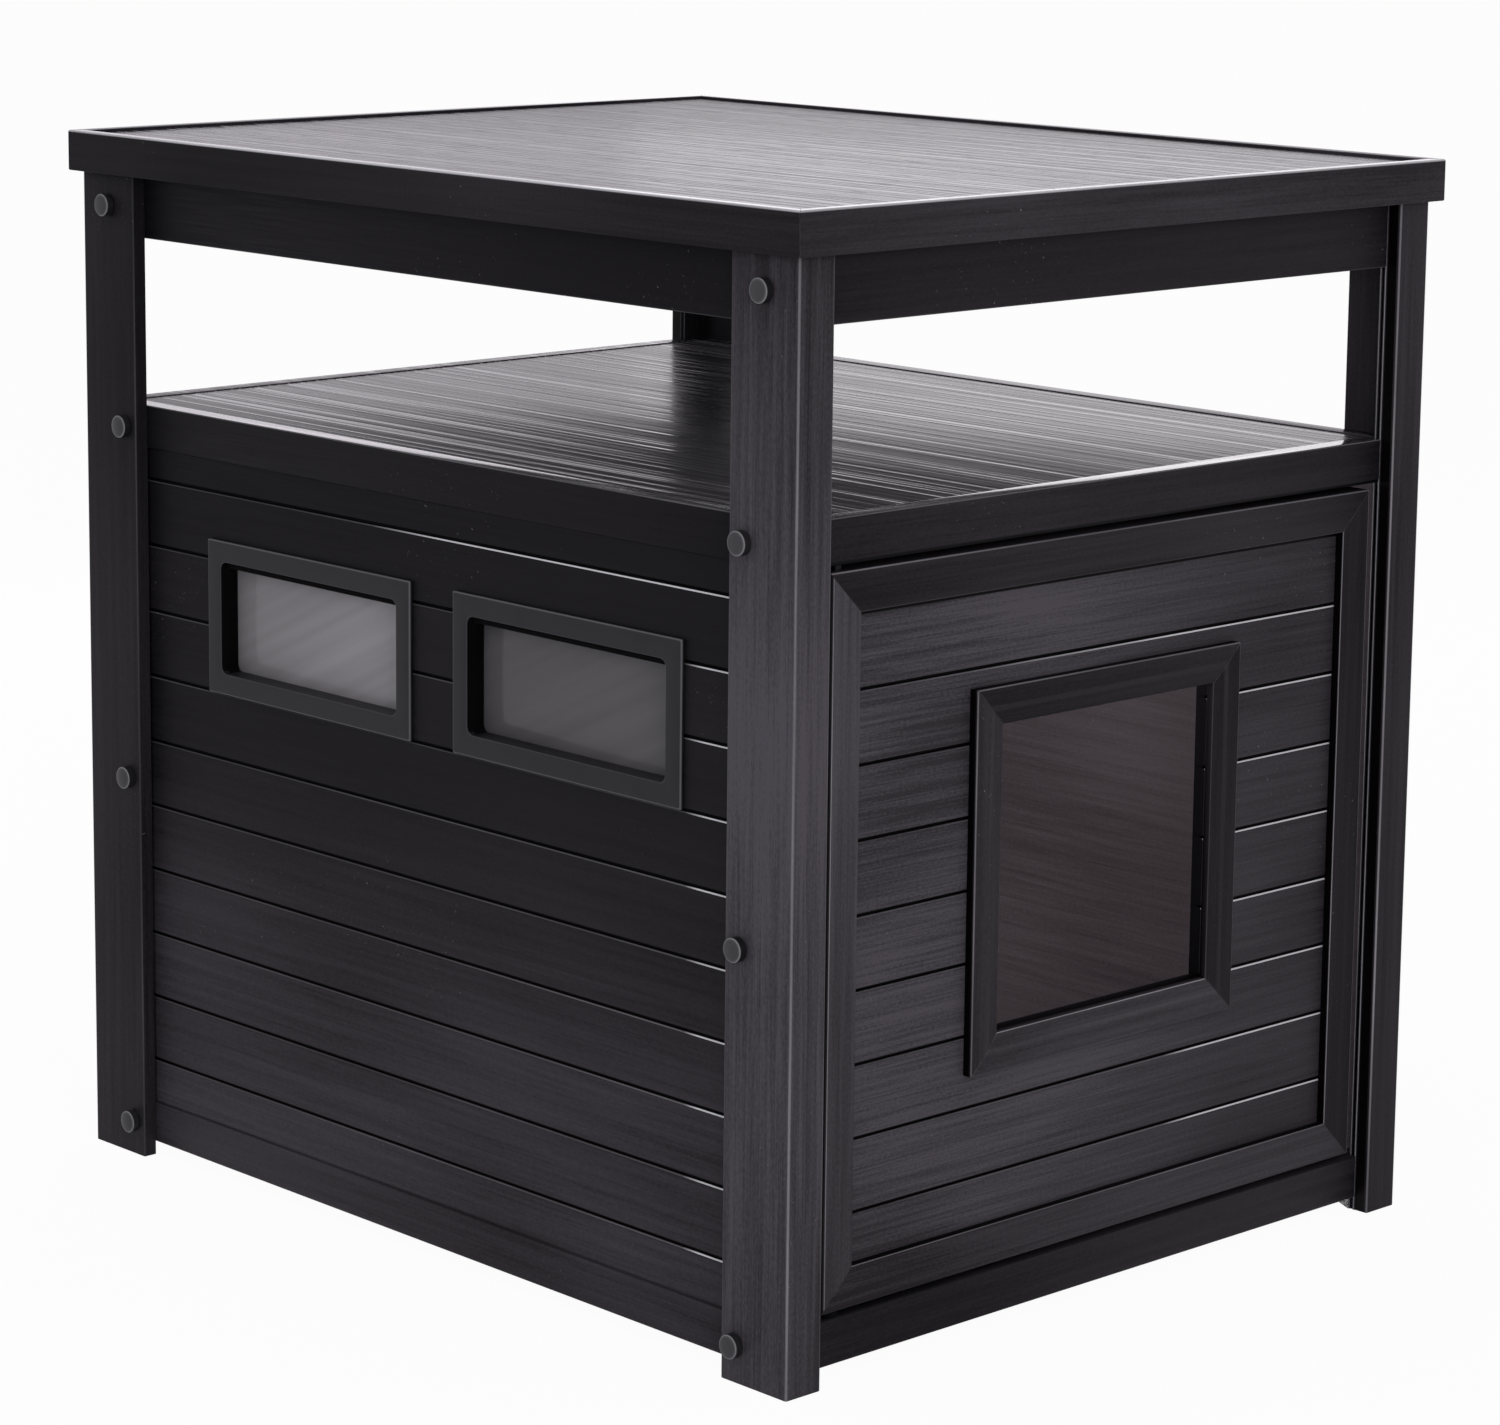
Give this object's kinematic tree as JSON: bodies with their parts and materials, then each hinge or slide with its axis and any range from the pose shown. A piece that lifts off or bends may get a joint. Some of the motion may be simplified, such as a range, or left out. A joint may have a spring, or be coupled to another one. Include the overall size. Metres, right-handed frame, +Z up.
{
  "type": "cat litter box cabinet",
  "caption": "End table over a closed litter cabin: open shelf bay, plank walls with side windows, and a hinged front door with a square cat entry.",
  "frame": {"origin": "on the floor, under the middle of the top", "axes": "+Z up, the door faces -Y, the wall with the windows faces -X"},
  "size_m": [0.535, 0.656, 0.65],
  "materials": {
    "composite": "charcoal wood-plastic composite with a fine lengthwise grain, satin",
    "top_sheet": "the same composite in sheet, finely ridged, a little glossier",
    "black_plastic": "black moulded plastic, satin",
    "smoked_pane": "smoked acrylic sheet, polished",
    "steel": "plain bright steel"
  },
  "bodies": {
    "cabinet": {"top_panel": "top_sheet", "top_rim_front": "composite", "top_rim_rear": "composite", "top_rim_left": "composite", "top_rim_right": "composite", "post_front_left": "composite", "post_front_right": "composite", "post_rear_left": "composite", "post_rear_right": "composite", "apron_front": "composite", "apron_rear": "composite", "apron_left": "composite", "apron_right": "composite", "shelf_panel": "top_sheet", "shelf_rail_front": "composite", "shelf_rail_rear": "composite", "shelf_rail_left": "composite", "shelf_rail_right": "composite", "base_rail_front": "composite", "base_rail_rear": "composite", "base_rail_left": "composite", "base_rail_right": "composite", "wall_left": "composite", "wall_right": "composite", "wall_rear": "composite", "floor_panel": "composite", "window_bezel_front": "black_plastic", "window_bezel_rear": "black_plastic", "window_pane_front": "smoked_pane", "window_pane_rear": "smoked_pane", "bolt_apron_front_left": "black_plastic", "bolt_shelf_front_left": "black_plastic", "bolt_middle_front_left": "black_plastic", "bolt_base_front_left": "black_plastic", "bolt_apron_front_right": "black_plastic", "bolt_shelf_front_right": "black_plastic", "bolt_middle_front_right": "black_plastic", "bolt_base_front_right": "black_plastic", "bolt_apron_rear_left": "black_plastic", "bolt_shelf_rear_left": "black_plastic", "bolt_middle_rear_left": "black_plastic", "bolt_base_rear_left": "black_plastic", "bolt_apron_rear_right": "black_plastic", "bolt_shelf_rear_right": "black_plastic", "bolt_middle_rear_right": "black_plastic", "bolt_base_rear_right": "black_plastic", "pivot_pin_upper": "steel", "pivot_pin_lower": "steel", "pivot_washer": "black_plastic", "catch_magnet": "black_plastic"},
    "door": {"door_stile_left": "composite", "door_stile_right": "composite", "door_rail_top": "composite", "door_rail_bottom": "composite", "door_panel": "composite", "entry_trim_left": "composite", "entry_trim_right": "composite", "entry_trim_top": "composite", "entry_trim_bottom": "composite", "strike_plate": "steel"}
  },
  "joints": [
    {"name": "door_hinge", "type": "hinge", "parent": "cabinet", "child": "door", "pos_m": [-0.216, -0.3055, 0.245], "axis": [0, 0, -1], "range_deg": [0, 110]}
  ]
}
